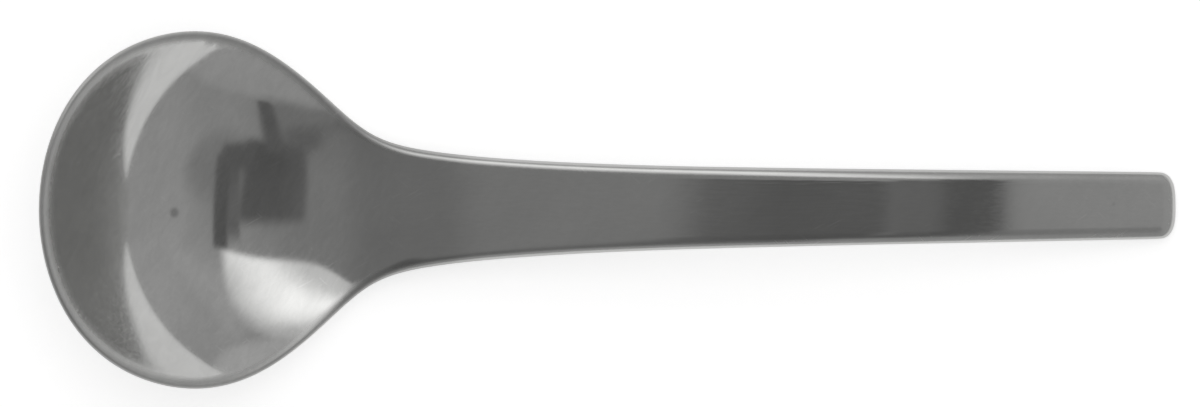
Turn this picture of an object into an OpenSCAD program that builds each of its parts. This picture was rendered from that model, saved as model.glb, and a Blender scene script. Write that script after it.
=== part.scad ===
// Sugar spoon, pressed and ground from one blank of stainless steel.
// +X runs from the tip of the bowl to the end of the handle, +Y is across and +Z is up.
// The origin lies on the table, under the middle of the spoon.

/* [Whole spoon] */
// Length from the tip of the bowl to the end of the handle
spoon_l = 135; // [115:0.5:165]

/* [Bowl] */
// Width of the bowl at its widest place
bowl_w = 42.2; // [34:0.1:50]
// Distance from the tip to the widest place
bowl_widest = 18; // [15:0.1:22]
// Distance from the tip to the neck, where the bowl runs out into the handle
bowl_l = 38.5; // [34:0.1:44]
// Distance from the tip to the lowest place of the bowl
bowl_floor = 27.9; // [24:0.1:31]
// Height of the tip over the table
tip_h = 20.9; // [14:0.1:23]
// How steep the sides of the bowl are against its front: 1 is as steep, and less is flatter
side_share = 0.92; // [0.75:0.01:1]
// The same for the sides that run into the neck
heel_share = 1.04; // [0.8:0.01:1.2]
// How square the front of the rim is: 2 is an ellipse
bowl_fullness = 2.07; // [1.9:0.01:2.2]
// Thickness of the wall of the bowl
bowl_wall = 1.2; // [0.8:0.05:2]
// Width of the rounded rim, seen from above
rim_w = 0.6; // [0.3:0.05:0.9]

/* [Neck] */
// Width of the neck
neck_w = 15; // [12:0.1:20]
// Thickness of the neck
neck_t = 2.8; // [1.8:0.05:3.5]
// Height of the top of the neck over the table
neck_h = 4.2; // [3.5:0.1:6]

/* [Handle] */
// Height of the crown of the handle over the table
crown_h = 12.8; // [10:0.1:16]
// Distance from the crown to the end of the handle
crown_to_end = 45.2; // [40:0.1:56]
// Thickness of the handle at its crown
crown_t = 2.5; // [1.6:0.05:3.5]
// Width of the handle at its end
end_w = 8; // [6:0.1:11]
// Thickness of the handle at its end
end_t = 2; // [1.4:0.05:3]
// Length over which the end rounds off, seen from above
end_round = 1.9; // [1.2:0.1:3]
// Width of the rounded edges of the handle, seen from above
edge_w = 1.4; // [0.6:0.05:1.6]
// Height by which the top of the handle is crowned across its width
handle_crowning = 0.12; // [0:0.01:0.3]

/* [Hidden] */
steel_colour = [0.62, 0.62, 0.61];

// Steps of the surface: between two outline points, round the end, across the top, round an edge and
// across the underside
span_steps = 6;
end_steps = 8;
top_steps = 15;
edge_steps = 4;
under_steps = 11;
// Steps between two points of a curve that is looked up
curve_steps = 60;

// The front of the rim is a quarter of an oval, in equal angles.
// Its points are pulled outwards, so that the smooth curve lies on the oval.
front_step = 30;
front_pull = 3 / (2 + cos(front_step));

// Outline behind the widest place: share of the way to the neck, share of the bowl's width over the neck's
shoulder_shares = [[0.40, 0.91], [0.75, 0.475], [1.01, 0.07]];
// Outline of the handle: share of the way from the neck to the end, share of the neck's width over the end's
taper_shares = [[0.07, 0.83], [0.16, 0.57], [0.30, 0.34], [0.50, 0.20], [0.75, 0.10], [1, 0]];
// Hollow of the bowl: share of the way from its lowest place to the rim at the tip, share of its rise there
wall_shares = [[0, -0.008], [0.2, 0.017], [0.4, 0.106], [0.6, 0.257], [0.8, 0.58], [1, 1], [1.2, 1.434]];
// Rise of the handle: share of the way from the neck to the crown, share of the crown's rise over the neck
rise_shares = [[-0.25, -0.302], [0, 0], [0.25, 0.302], [0.5, 0.599], [0.75, 0.869], [1, 1]];
// Fall of the handle: share of the way from the crown to the end, share of the height lost
fall_shares = [[0.25, 0.099], [0.5, 0.314], [0.75, 0.633], [1, 1]];
// Where the bowl turns into the handle, from and to, as shares of the way from the tip to the neck
turn_shares = [0.8, 1.2];
// How much of the neck's extra thickness there is where the bowl ends
neck_wall_share = 0.5;
// Height of the rounding of an edge, as a share of the thickness there
edge_height_share = 0.42;
// Widest rounding of an edge that the handle's end takes, as a share of the end's own rounding
end_edge_share = 0.75;
// How square the corners of the handle's end are: 2 is an ellipse
end_squareness = 3.4;
// Reach of the fan of ribs at the tip, as a share of the bowl's width, and at the end, as a share of
// the end's width
front_fan_share = 0.7;
end_fan_share = 1;
// How much closer the ribs' points lie at the rim than in the middle
rim_crowding = 0.35;

crown_x = spoon_l - crown_to_end;
side_end_x = spoon_l - end_round;
slope_step = rim_w / 20;
front_fan = bowl_w * front_fan_share;
end_fan = end_w * end_fan_share;

// One point of the smooth curve that the points of p pull on
function pulled(p, i, t) =
    (p[i] * pow(1 - t, 3) + p[i + 1] * (3 * pow(t, 3) - 6 * pow(t, 2) + 4)
    + p[i + 2] * (1 + 3 * t + 3 * pow(t, 2) - 3 * pow(t, 3)) + p[i + 3] * pow(t, 3)) / 6;
// The whole curve, with n steps between two points
function smooth(p, n) =
    [for (i = [0:len(p) - 4], k = [0:n - 1]) pulled(p, i, k / n), pulled(p, len(p) - 4, 1)];
// One more point past either end, so that the curve starts and stops on the points given
function held_start(p) = concat([2 * p[0] - p[1]], p);
function held_end(p) = concat(p, [2 * p[len(p) - 1] - p[len(p) - 2]]);
function held(p) = held_start(held_end(p));
function mix(a, b, s) = a + (b - a) * s;
// Turns a list of shares into points: x from x0 to x1, and z from z0 at share 0 to z1 at share 1
function placed(shares, x0, x1, z0, z1) = [for (s = shares) [mix(x0, x1, s[0]), mix(z0, z1, s[1])]];
function eased(t) = let (u = min(1, max(0, t))) pow(u, 3) * (6 * pow(u, 2) - 15 * u + 10);

// Half outline from the tip to the rounding of the handle's end
function oval(v) = pow(v, 2 / bowl_fullness);
function front_point(a) =
    [bowl_widest * (1 - front_pull * oval(cos(a))), bowl_w / 2 * front_pull * oval(sin(a))];
front_points = [for (a = [front_step:front_step:90]) front_point(a)];
tip_points = [[front_points[0].x, -front_points[0].y], [-front_points[0].x / 2, 0]];
outline_points = held_end(concat(tip_points, front_points,
    placed(shoulder_shares, bowl_widest, bowl_l, neck_w / 2, bowl_w / 2),
    placed(taper_shares, bowl_l, side_end_x, end_w / 2, neck_w / 2)));
width_curve = smooth(outline_points, curve_steps);
function half_w(x) = lookup(x, width_curve);

// The rounded end of the handle, seen from above, from its side to its middle
function end_point(a) =
    [side_end_x + end_round * sqrt(1 - pow(sin(a), end_squareness)), end_w / 2 * sin(a)];
end_points = [for (i = [1:end_steps]) end_point(90 * (1 - i / end_steps))];

// Thickness along the spoon
thickness_curve = smooth(held([
    [0, bowl_wall],
    [bowl_widest, bowl_wall],
    [bowl_l * turn_shares[0], bowl_wall],
    [bowl_l, mix(bowl_wall, neck_t, neck_wall_share)],
    [bowl_l * turn_shares[1], neck_t],
    [crown_x, crown_t],
    [spoon_l, end_t]]), curve_steps);
function thickness(x) = lookup(x, thickness_curve);
function handle_share(x) = eased((x / bowl_l - turn_shares[0]) / (turn_shares[1] - turn_shares[0]));
function edge_width(x) = mix(rim_w, min(edge_w, end_round * end_edge_share), handle_share(x));

// The hollow of the bowl, which rises all round from its lowest place
wall_points = placed(wall_shares, 0, bowl_floor - rim_w, bowl_wall, tip_h);
wall_curve = smooth(held_end(concat([[-wall_points[1].x, wall_points[1].y]], wall_points)), curve_steps);
function heel(x) = eased((x - bowl_widest) / (bowl_l - bowl_widest));
function bowl_z(x, y) =
    lookup(norm([x - bowl_floor, y * mix(side_share, heel_share, heel(x))]), wall_curve);

// The handle from the side
side_curve = smooth(held(concat(
    placed(rise_shares, bowl_l, crown_x, neck_h, crown_h),
    placed(fall_shares, crown_x, spoon_l, crown_h, end_t))), curve_steps);
function handle_z(x, y) = lookup(x, side_curve) - handle_crowning * pow(2 * y / neck_w, 2);

// Height of the top surface, and of the underside, which lies a thickness away square to it
function top_z(x, y) = mix(bowl_z(x, y), handle_z(x, y), handle_share(x));
function slope(x, y) = [
    top_z(x + slope_step, y) - top_z(x - slope_step, y),
    top_z(x, y + slope_step) - top_z(x, y - slope_step)] / (2 * slope_step);
function under_z(x, y) = top_z(x, y) - thickness(x) * norm([1, slope(x, y).x, slope(x, y).y]);

// The whole outline, once round, and its normals, which point inwards
side_points = smooth(outline_points, span_steps);
half_outline = concat(side_points, end_points);
last = len(half_outline) - 1;
outline = concat(half_outline, [for (j = [last - 1:-1:1]) [half_outline[j].x, -half_outline[j].y]]);
ribs = len(outline);
function inward(j) =
    let (d = outline[(j + 1) % ribs] - outline[(j + ribs - 1) % ribs]) [d.y, -d.x] / norm(d);

// Every rib runs from the spine of the spoon to the outline. The ribs fan out at the tip and at the end.
function spine_x(x) =
    x < front_fan ? (front_fan + x * x / front_fan) / 2
    : spoon_l - x < end_fan ? spoon_l - (end_fan + pow(spoon_l - x, 2) / end_fan) / 2
    : x;
function crowded(s) = s * (1 + rim_crowding * (1 - s));
// One rounded corner of an edge: from a on the face, past the corner c, to b on the side
function rounding(a, c, b) =
    [for (k = [0:edge_steps])
        let (t = k / edge_steps) a * pow(1 - t, 2) + c * 2 * t * (1 - t) + b * pow(t, 2)];
function rib(j) =
    let (
        rim = outline[j],
        spine = [spine_x(rim.x), 0],
        face = rim + inward(j) * edge_width(rim.x),
        upper = top_z(face.x, face.y),
        lower = under_z(face.x, face.y),
        drop = slope(face.x, face.y) * (rim - face),
        // the bowl's rim is level on top, and the handle and the underside keep their slope there
        ledge = upper + drop * handle_share(rim.x),
        corner = lower + drop,
        round_h = (ledge - corner) * edge_height_share,
        top = [for (k = [0:top_steps - 1])
            let (p = mix(spine, face, crowded(k / top_steps))) [p.x, p.y, top_z(p.x, p.y)]],
        under = [for (k = [under_steps - 1:-1:0])
            let (p = mix(spine, face, crowded(k / under_steps))) [p.x, p.y, under_z(p.x, p.y)]]
    )
    concat(top,
        rounding([face.x, face.y, upper], [rim.x, rim.y, ledge], [rim.x, rim.y, ledge - round_h]),
        rounding([rim.x, rim.y, corner + round_h], [rim.x, rim.y, corner], [face.x, face.y, lower]),
        under);

rib_points = [for (j = [0:ribs - 1]) rib(j)];
rib_len = len(rib_points[0]);
lowest = min([for (r = rib_points, p = r) p.z]);

module spoon() {
    // the two ribs at one place share their points on the spine, so these are written once
    function at(j, k) =
        (k == 0 || k == rib_len - 1) && j > last ? (ribs - j) * rib_len + k : (j % ribs) * rib_len + k;
    color(steel_colour)
        translate([-spoon_l / 2, 0, -lowest])
            polyhedron(
                points = [for (r = rib_points, p = r) p],
                faces = [for (j = [0:ribs - 1], k = [0:rib_len - 2]) each [
                    [at(j, k), at(j, k + 1), at(j + 1, k + 1)],
                    [at(j, k), at(j + 1, k + 1), at(j + 1, k)]]]);
}

spoon();
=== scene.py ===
import math
import bpy
import mathutils
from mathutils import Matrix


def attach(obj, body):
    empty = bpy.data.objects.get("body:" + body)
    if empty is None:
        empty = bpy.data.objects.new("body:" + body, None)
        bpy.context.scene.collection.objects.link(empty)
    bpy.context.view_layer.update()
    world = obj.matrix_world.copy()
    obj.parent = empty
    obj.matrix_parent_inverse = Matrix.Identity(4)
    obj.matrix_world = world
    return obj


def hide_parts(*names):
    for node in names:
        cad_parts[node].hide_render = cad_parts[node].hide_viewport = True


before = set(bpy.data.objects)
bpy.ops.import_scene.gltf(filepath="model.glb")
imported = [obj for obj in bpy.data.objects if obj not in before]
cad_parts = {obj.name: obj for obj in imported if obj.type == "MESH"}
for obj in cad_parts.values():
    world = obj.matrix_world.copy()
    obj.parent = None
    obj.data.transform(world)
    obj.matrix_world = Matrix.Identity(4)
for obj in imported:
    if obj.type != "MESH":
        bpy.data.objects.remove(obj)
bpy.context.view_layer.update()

# 1. The spoon
# One piece of stainless steel: cut from strip, rolled thinner towards the bowl, pressed in a die, then ground round
# its edges and polished all over. It stands on the table on its bowl and the end of its handle.
SAME_POINT = 0.000001
FLAT_QUAD = math.radians(60)
SQUARE_QUAD = math.radians(90)
bpy.ops.object.select_all(action="DESELECT")
spoon = bpy.data.objects.new("polished_spoon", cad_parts["spoon"].data.copy())
bpy.context.scene.collection.objects.link(spoon)
bpy.context.view_layer.objects.active = spoon
spoon.select_set(True)
bpy.ops.mesh.customdata_custom_splitnormals_clear()
bpy.ops.object.mode_set(mode="EDIT")
bpy.ops.mesh.select_all(action="SELECT")
bpy.ops.mesh.remove_doubles(threshold=SAME_POINT)
bpy.ops.mesh.tris_convert_to_quads(face_threshold=FLAT_QUAD, shape_threshold=SQUARE_QUAD)
bpy.ops.object.mode_set(mode="OBJECT")

# The ground edge: a soft mask, 1 along the outline of the spoon and 0 a little way in from it.
EDGE_FACES_BELOW = 0.40
EDGE_FULL = 0.0007
EDGE_END = 0.0014
points = spoon.data.vertices
side_on = [
    point.co
    for point, normal in zip(points, spoon.data.vertex_normals)
    if abs(normal.vector.z) < EDGE_FACES_BELOW
]
outline = mathutils.kdtree.KDTree(len(side_on))
for number, place in enumerate(side_on):
    outline.insert((place.x, place.y, 0), number)
outline.balance()
ground_edge = spoon.data.attributes.new("ground_edge", "FLOAT", "POINT")
for mark, point in zip(ground_edge.data, points):
    inside = outline.find((point.co.x, point.co.y, 0))[2]
    mark.value = min(1.0, max(0.0, (EDGE_END - inside) / (EDGE_END - EDGE_FULL)))

pressed = spoon.modifiers.new("pressed_surface", "SUBSURF")
pressed.levels = 1
pressed.render_levels = 1
bpy.ops.object.modifier_apply(modifier=pressed.name)
bpy.ops.object.shade_smooth()


def node_tree_of(owner):
    """The nodes of a material or of the room. It is kept as tree, where the helpers below put what they make."""
    owner.use_nodes = True
    return owner.node_tree


def put(kind, **settings):
    """A new node of this kind, with its settings."""
    made = tree.nodes.new(kind)
    for name, value in settings.items():
        setattr(made, name, value)
    return made


def feed(socket, value):
    """Gives a socket a number, a colour or another node's output."""
    if isinstance(value, bpy.types.NodeSocket):
        tree.links.new(value, socket)
    else:
        socket.default_value = value


def worked_out(kind, *values):
    """One step of arithmetic."""
    step = put("ShaderNodeMath", operation=kind)
    for socket, value in zip(step.inputs, values):
        feed(socket, value)
    return step.outputs[0]


def plus(first, *others):
    """All the values added up."""
    for other in others:
        first = worked_out("ADD", first, other)
    return first


def minus(first, other):
    """The first value less the other."""
    return worked_out("SUBTRACT", first, other)


def times(first, *others):
    """All the values multiplied. For masks, the place where they overlap."""
    for other in others:
        first = worked_out("MULTIPLY", first, other)
    return first


def larger(first, other):
    """The larger of two values. For masks, both places together."""
    return worked_out("MAXIMUM", first, other)


def ramp(value, start, end, low=0.0, high=1.0):
    """Rises smoothly from low to high as the value goes from start to end."""
    step = put("ShaderNodeMapRange", interpolation_type="SMOOTHSTEP")
    for name, given in (("Value", value), ("From Min", start), ("From Max", end), ("To Min", low), ("To Max", high)):
        feed(step.inputs[name], given)
    return step.outputs[0]


def by_mask(mask, outside, within):
    """One value outside a mask and another within it."""
    return ramp(mask, 0.0, 1.0, outside, within)


def blend(mask, outside, within):
    """The same for two values that vary by themselves, in even steps."""
    laid = put("ShaderNodeMix", data_type="FLOAT")
    for socket, value in zip(laid.inputs, (mask, None, outside, within)):
        if value is not None:
            feed(socket, value)
    return laid.outputs[0]


def split(vector):
    """The three parts of a vector, by name."""
    parts = put("ShaderNodeSeparateXYZ")
    feed(parts.inputs[0], vector)
    return parts.outputs


steel = bpy.data.materials.new("polished_stainless_steel")
tree = node_tree_of(steel)
finish = tree.nodes["Principled BSDF"]
finish.inputs["Metallic"].default_value = 1.0
on_spoon = put("ShaderNodeTexCoord").outputs["Object"]


def marks(name, size, turn, detail, roughness=0.5, distortion=0.0):
    """Noise whose marks are so many metres long, wide and high, turned about the upright axis."""
    laid = put("ShaderNodeMapping", name=name + "_laid", vector_type="TEXTURE")
    laid.inputs["Rotation"].default_value = (0, 0, math.radians(turn))
    laid.inputs["Scale"].default_value = size
    feed(laid.inputs["Vector"], on_spoon)
    noise = put("ShaderNodeTexNoise", name=name)
    feed(noise.inputs["Vector"], laid.outputs[0])
    for socket, value in (("Scale", 1.0), ("Detail", detail), ("Roughness", roughness), ("Distortion", distortion)):
        noise.inputs[socket].default_value = value
    return noise.outputs["Fac"]


def spot(centre, radius):
    """A small stain: 1 in its middle and 0 outside it."""
    away = put("ShaderNodeVectorMath", operation="DISTANCE")
    feed(away.inputs[0], on_spoon)
    away.inputs[1].default_value = centre
    return ramp(away.outputs["Value"], radius, radius * 0.1)


# The handle's side of the spoon, and the neck between bowl and handle, whose mask carries painted shade. Each fades
# in or out between two places along the spoon.
HANDLE_FADES_IN = (-0.034, -0.020)
NECK_FADES_IN = (-0.0345, -0.0275)
NECK_FADES_OUT = (-0.0125, -0.0225)
along = split(on_spoon)["X"]
on_handle = ramp(along, *HANDLE_FADES_IN)
# Painted shade: this mask darkens the steel's colour at the neck, standing in for a dark reflection there.
neck_painted_shade = times(ramp(along, *NECK_FADES_IN), ramp(along, *NECK_FADES_OUT))

# Polishing lines run along the handle, and fade into a finer, less ordered satin in the bowl.
lines = marks("polishing_lines", size=(0.007, 0.00028, 0.00028), turn=0, detail=3.0, roughness=0.6)
satin = marks("bowl_satin", size=(0.0011, 0.00042, 0.0006), turn=52, detail=3.0, roughness=0.65, distortion=0.6)
grain = blend(on_handle, satin, lines)

# Hairline scratches from use, in two directions, with clear places between them.
one_way = ramp(marks("scratches_a", size=(0.0042, 0.00017, 0.0009), turn=28, detail=1.0), 0.68, 0.77)
other_way = ramp(marks("scratches_b", size=(0.0036, 0.00016, 0.0009), turn=-41, detail=1.0), 0.69, 0.78)
worn = ramp(marks("worn_places", size=(0.012, 0.009, 0.012), turn=10, detail=2.0), 0.42, 0.62)
scratches = times(larger(one_way, other_way), worn)

# Uneven polish a few millimetres across, marks from wiping, two water spots, and the duller ground edge.
BOWL_SPOT = (-0.0519, -0.0003, 0.0042)
HANDLE_SPOT = (0.0600, 0.0002, 0.0047)
HANDLE_SPOT_SHARE = 0.3
cloud = marks("uneven_polish", size=(0.016, 0.010, 0.012), turn=15, detail=3.0)
wiped = marks("wiping_marks", size=(0.0034, 0.0012, 0.0024), turn=63, detail=3.0, roughness=0.6, distortion=0.8)
stains = larger(spot(BOWL_SPOT, radius=0.0010), times(spot(HANDLE_SPOT, radius=0.0004), HANDLE_SPOT_SHARE))
edge = put("ShaderNodeAttribute", attribute_name="ground_edge").outputs["Fac"]

# The colour of the steel, a little lighter and darker from place to place, with painted shade darkening the neck.
# Noise lies mostly in its own middle.
STEEL_COLOUR = (0.62, 0.62, 0.61)
NOISE_MIDDLE = (0.30, 0.70)
# Painted shade: the share of the steel's colour that is left at the neck.
NECK_PAINTED_SHADE = 0.80
SCRATCH_TONE = 1.10
STAIN_TONE = 0.66
tone = times(
    ramp(cloud, *NOISE_MIDDLE, 0.955, 1.03),
    ramp(grain, 0.25, 0.75, 0.98, 1.02),
    ramp(wiped, *NOISE_MIDDLE, by_mask(on_handle, 0.97, 0.99), by_mask(on_handle, 1.03, 1.01)),
    # Painted shade at the neck.
    by_mask(neck_painted_shade, 1.0, NECK_PAINTED_SHADE),
    by_mask(scratches, 1.0, SCRATCH_TONE),
    by_mask(stains, 1.0, STAIN_TONE),
)
colour = put("ShaderNodeVectorMath", operation="SCALE")
colour.inputs[0].default_value = STEEL_COLOUR
feed(colour.inputs["Scale"], tone)
feed(finish.inputs["Base Color"], colour.outputs[0])

# The polish: bright all over, and duller in the grain, the scratches and the stains and along the ground edge.
SCRATCH_DULLNESS = 0.07
BOWL_EDGE_DULLNESS = 0.42
HANDLE_EDGE_DULLNESS = 0.16
STAIN_DULLNESS = 0.15
rough = plus(
    ramp(cloud, *NOISE_MIDDLE, 0.070, 0.095),
    ramp(grain, *NOISE_MIDDLE, -0.012, 0.022),
    times(scratches, SCRATCH_DULLNESS),
    times(edge, by_mask(on_handle, BOWL_EDGE_DULLNESS, HANDLE_EDGE_DULLNESS)),
    times(stains, STAIN_DULLNESS),
)
feed(finish.inputs["Roughness"], rough)

# The depth of the grain, and the share of it that a scratch cuts away.
GRAIN_DEPTH = 0.0000012
SCRATCH_DEPTH_SHARE = 0.5
relief = put("ShaderNodeBump")
relief.inputs["Strength"].default_value = 1.0
relief.inputs["Distance"].default_value = GRAIN_DEPTH
feed(relief.inputs["Height"], minus(grain, times(scratches, SCRATCH_DEPTH_SHARE)))
feed(finish.inputs["Normal"], relief.outputs[0])

spoon.data.materials.clear()
spoon.data.materials.append(steel)
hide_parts("spoon")
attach(spoon, "root")

# 2. The table
# A matt white surface that the spoon stands on. It is lit as the spoon is and keeps its shadow, and the rest of its
# white is its own, which takes over away from the spoon, where the lamp doesn't reach.
TABLE_SIZE = 8.0
UNDER_SPOON = 0.00005
MATT_WHITE = (0.8, 0.8, 0.8, 1)
OWN_WHITE = 0.56
OWN_WHITE_FROM = 0.12
ALL_WHITE_FROM = 0.60
MIRRORED_WHITE = 0.30
bpy.ops.object.select_all(action="DESELECT")
bpy.ops.mesh.primitive_plane_add(size=TABLE_SIZE, location=(0, 0, -UNDER_SPOON))
table = bpy.context.object
table.name = "white_table"
table_white = bpy.data.materials.new("matt_white_table")
tree = node_tree_of(table_white)
surface = tree.nodes["Principled BSDF"]
surface.inputs["Base Color"].default_value = MATT_WHITE
surface.inputs["Roughness"].default_value = 0.9
surface.inputs["Specular IOR Level"].default_value = 0.0
surface.inputs["Emission Color"].default_value = (1, 1, 1, 1)
ray = put("ShaderNodeLightPath").outputs
from_spoon = put("ShaderNodeVectorMath", operation="LENGTH")
feed(from_spoon.inputs[0], put("ShaderNodeTexCoord").outputs["Object"])
own_white = ramp(from_spoon.outputs["Value"], OWN_WHITE_FROM, ALL_WHITE_FROM, OWN_WHITE, 1.0)
seen = times(larger(ray["Is Camera Ray"], ray["Is Transmission Ray"]), own_white)
feed(surface.inputs["Emission Strength"], plus(seen, times(ray["Is Glossy Ray"], MIRRORED_WHITE)))
table.data.materials.append(table_white)

# 3. The light
# A grey room that is darker overhead and lighter towards the end of the handle, with a wide soft window on one side
# and the dark head and arms of a copy stand above, which the polished steel shows as its dark shapes.
room = bpy.data.worlds.new("grey_room")
bpy.context.scene.world = room
tree = node_tree_of(room)
air = tree.nodes["Background"]
air.inputs["Color"].default_value = (1, 1, 1, 1)
ray = put("ShaderNodeLightPath").outputs
way = split(put("ShaderNodeTexCoord").outputs["Generated"])

# Where a direction meets a ceiling one metre up: east is towards the end of the handle, north across the spoon.
NEARLY_LEVEL = 0.02
above = larger(way["Z"], NEARLY_LEVEL)
east = worked_out("DIVIDE", way["X"], above)
north = worked_out("DIVIDE", way["Y"], above)


def strip(value, start, end, soft):
    """1 between start and end, with soft sides."""
    return times(ramp(value, start - soft, start + soft), ramp(value, end + soft, end - soft))


def slanted(share):
    """Distance north of a line that runs so far north for each metre east."""
    return minus(north, times(east, share))


def leaning(share):
    """Distance east of a line that runs so far east for each metre north."""
    return minus(east, times(north, share))


def away_from(centre, size):
    """0 in the middle of an oval place, and 1 on its outline."""
    parts = []
    for value, middle, half in zip((east, north), centre, size):
        share = worked_out("DIVIDE", minus(value, middle), half)
        parts.append(times(share, share))
    return plus(*parts)


# The plain room: dimmer to the west, lighter to the east and north, and lightest low down on both long sides.
plain = plus(
    ramp(way["X"], -0.75, -0.30, 0.228, 0.258),
    ramp(way["X"], 0.5, 0.8, 0.0, 0.045),
    ramp(east, -0.30, 0.45, 0.0, 0.067),
    times(ramp(way["Y"], 0.0, 0.4, 0.0, 0.05), ramp(east, -0.2, 0.3)),
)
plain = larger(plain, ramp(way["Y"], -0.70, -0.86, 0.2, 0.385))
plain = larger(plain, ramp(way["Y"], 0.84, 0.97, 0.25, 0.50))

# The dimmer places beside the stand, and the glow beside the window.
west_side = times(ramp(east, 0.05, -0.25), strip(north, -1.40, -0.52, soft=0.25), 0.8)
light = blend(west_side, plain, 0.215)
beside = away_from((0.62, -0.42), (0.55, 0.42))
light = blend(ramp(beside, 1.2, 0.0), light, 0.248)
across = plus(east, times(north, 0.6))
glow = times(ramp(across, 2.2, 1.1), ramp(north, 0.3, 0.7), ramp(east, 0.3, 0.7), 0.06)
light = plus(light, glow)

# The window: a crisp near edge in the east that softens towards the west, and the brightest part in the north-west.
bowed = times(worked_out("POWER", east, 2.0), 0.114)
near_side = ramp(
    minus(slanted(-0.283), bowed),
    ramp(east, -0.2, 0.3, 0.385, 0.412),
    ramp(east, -0.2, 0.3, 0.475, 0.495),
)
far_sides = times(ramp(across, 1.27, 0.84), ramp(across, -0.8, -0.4), ramp(east, 0.60, 0.46))
ridge = plus(east, times(north, 0.84))
brightness = worked_out("MINIMUM", ramp(ridge, 0.15, 0.52, 0.80, 1.30), ramp(ridge, 1.35, 0.50, 0.55, 1.30))
brightness = times(brightness, ramp(north, 0.6, 1.1, 0.93, 1.08))
light = blend(times(near_side, far_sides), light, brightness)

# The stand: its head, an arm that slopes away from the head, the gap between the head and a strut, the strut, the
# bracket that joins the two, and a post above the head.
head = times(strip(leaning(0.15), -0.27, 0.34, soft=0.06), strip(north, -0.64, 0.10, soft=0.07))
head_tone = plus(ramp(north, -0.5, 0.05, 0.105, 0.135), ramp(east, 0.0, -0.3, 0.0, 0.025))
arm = times(strip(slanted(0.6), -0.72, -0.38, soft=0.12), strip(east, -0.55, -0.15, soft=0.12), 0.75)
gap = times(strip(east, 0.325, 0.46, soft=0.02), strip(north, -0.46, 0.22, soft=0.10))
gap_tone = ramp(worked_out("ABSOLUTE", north), 0.0, 0.3, 0.175, 0.145)
strut = times(strip(leaning(0.05), 0.45, 0.62, soft=0.025), strip(north, -0.50, 0.33, soft=0.04))
bracket = times(strip(north, -0.60, -0.33, soft=0.06), strip(leaning(0.3), 0.30, 0.70, soft=0.04))
post = times(strip(east, -0.14, 0.06, soft=0.05), strip(north, -1.28, -0.52, soft=0.06))
for shape, level in ((head, head_tone), (arm, 0.13), (gap, gap_tone), (strut, 0.122), (bracket, 0.125), (post, 0.13)):
    light = blend(shape, light, level)

# The window and the stand show once only: what the steel mirrors a second time is the plain room, a little lighter.
# Below the horizon lies a pale floor, and the camera itself sees white.
SECOND_MIRRORING = 1.2
PALE_FLOOR = 0.72
once = worked_out("LESS_THAN", ray["Ray Depth"], 2.5)
light = blend(once, times(plain, SECOND_MIRRORING), light)
light = blend(ramp(way["Z"], 0.0, -0.05), light, PALE_FLOOR)
light = blend(ray["Is Camera Ray"], light, 1.0)
feed(air.inputs["Strength"], light)

# A broad soft lamp overhead lights the table. The steel doesn't mirror it.
lamp = bpy.data.lights.new("broad_soft_lamp", "AREA")
lamp.shape = "SQUARE"
lamp.size = 1.2
lamp.energy = 6.0
lamp_stand = bpy.data.objects.new("broad_soft_lamp", lamp)
bpy.context.scene.collection.objects.link(lamp_stand)
lamp_stand.location = (0, 0, 1.4)
lamp_stand.visible_camera = False
lamp_stand.visible_glossy = False
lamp_stand.visible_transmission = False

# 4. The camera
# It looks straight down from two metres through a long lens, turned a quarter of a degree, so that the end of the
# handle lies a little higher in the picture than the tip.
PICTURE_WIDTH = 1200
SPOON_PIXELS = 1137.5
SPOON_LENGTH = 0.135
# The rim of the bowl and the handle lie above the table, nearer to the camera, and look this much larger there.
NEARNESS = 1.0056
CAMERA_HEIGHT = 2.0
CAMERA_TURN = -0.26
pixel = SPOON_LENGTH / SPOON_PIXELS * NEARNESS
view = bpy.data.cameras.new("overhead_camera")
view.sensor_width = 36.0
view.lens = view.sensor_width * CAMERA_HEIGHT / (PICTURE_WIDTH * pixel)
view.clip_end = 20.0
camera = bpy.data.objects.new("overhead_camera", view)
bpy.context.scene.collection.objects.link(camera)
camera.location = (-0.00117, 0.00055, CAMERA_HEIGHT)
camera.rotation_euler = (0, 0, math.radians(CAMERA_TURN))
bpy.context.scene.camera = camera
bpy.context.scene.view_settings.view_transform = "Standard"
